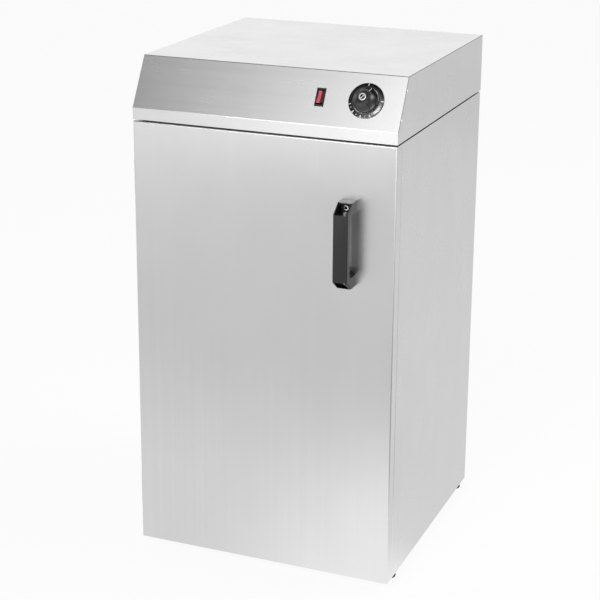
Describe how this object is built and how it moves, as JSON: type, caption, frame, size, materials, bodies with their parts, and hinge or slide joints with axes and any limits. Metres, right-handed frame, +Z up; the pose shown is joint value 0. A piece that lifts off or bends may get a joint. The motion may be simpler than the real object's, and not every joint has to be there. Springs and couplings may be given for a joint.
{
  "type": "plate warmer cabinet",
  "caption": "Free-standing stainless hot cupboard for warming plates, with a hinged insulated door, wire shelves, a heated floor and a sloped panel with a thermostat knob and a rocker switch.",
  "frame": {"origin": "floor level, under the middle of the cabinet's box with its handle, hinges and gland", "axes": "+Z up, -Y towards the door, +X to the right as seen from the front"},
  "size_m": [0.4588, 0.506, 0.855],
  "materials": {
    "stainless_sheet": "brushed stainless sheet",
    "galvanised_sheet": "galvanised steel sheet",
    "stainless_liner": "2B stainless sheet",
    "shelf_wire": "plated wire",
    "screws": "zinc-plated steel",
    "black_moulding": "black moulded nylon",
    "knob_black": "black phenolic moulding",
    "rocker_red": "translucent red polycarbonate",
    "mineral_wool": "mineral wool slab",
    "silicone_black": "silicone rubber",
    "foot_rubber": "moulded rubber",
    "element_sheath": "annealed stainless sheath",
    "copper": "drawn copper",
    "brass": "turned brass",
    "ceramic_white": "moulded thermoset",
    "magnet": "ferrite with steel poles"
  },
  "bodies": {
    "cabinet": {"hood": "stainless_sheet", "hood_rivets": "screws", "hood_screws": "screws", "deck_panel": "galvanised_sheet", "side_panel_right": "stainless_sheet", "side_panel_left": "stainless_sheet", "back_panel": "galvanised_sheet", "back_screws": "screws", "base_pan": "galvanised_sheet", "feet": "foot_rubber", "foot_bolts": "screws", "foot_nuts": "screws", "front_rail_top": "stainless_sheet", "front_rail_bottom": "stainless_sheet", "liner_wrap": "stainless_liner", "liner_floor": "stainless_liner", "liner_back": "stainless_liner", "insulation_sides": "mineral_wool", "insulation_back": "mineral_wool", "insulation_top": "mineral_wool", "insulation_floor": "mineral_wool", "shelf_runners_right": "stainless_liner", "shelf_runners_left": "stainless_liner", "wire_shelf_lower": "shelf_wire", "wire_shelf_upper": "shelf_wire", "heater_element": "element_sheath", "heater_end_nuts": "brass", "heater_supports": "stainless_liner", "heater_cover": "stainless_liner", "dial_ring": "knob_black", "thermostat_body": "ceramic_white", "thermostat_screws": "screws", "thermostat_bulb": "copper", "bulb_clips": "stainless_liner", "switch_housing": "black_moulding", "cable_gland": "black_moulding", "gland_nut": "black_moulding", "terminal_block": "ceramic_white", "hinge_frame_leaves": "stainless_sheet", "hinge_pins": "screws", "hinge_washers": "brass", "hinge_frame_screws": "screws", "catch_housing": "black_moulding", "catch_magnet": "magnet"},
    "door": {"door_skin": "stainless_sheet", "door_inner_panel": "stainless_liner", "door_insulation": "mineral_wool", "door_gasket": "silicone_black", "door_handle": "black_moulding", "handle_screws": "screws", "handle_nuts": "screws", "hinge_door_leaves": "stainless_sheet", "hinge_door_screws": "screws", "strike_plate": "stainless_sheet"},
    "knob_group": {"knob": "knob_black", "knob_cap": "screws", "thermostat_shaft": "screws"},
    "switch_rocker": {"rocker": "rocker_red"}
  },
  "joints": [
    {"name": "door_hinge", "type": "hinge", "parent": "cabinet", "child": "door", "pos_m": [-0.22535, -0.191, 0.3845], "axis": [0, 0, -1], "range_deg": [0, 180]},
    {"name": "thermostat_knob", "type": "hinge", "parent": "cabinet", "child": "knob_group", "pos_m": [0.16865, -0.19012, 0.81641], "axis": [0, 0.8676, -0.4973], "range_deg": [-38, 232]},
    {"name": "rocker_tilt", "type": "hinge", "parent": "cabinet", "child": "switch_rocker", "pos_m": [0.09335, -0.18874, 0.81481], "axis": [1, 0, 0], "range_deg": [0, 18]}
  ]
}
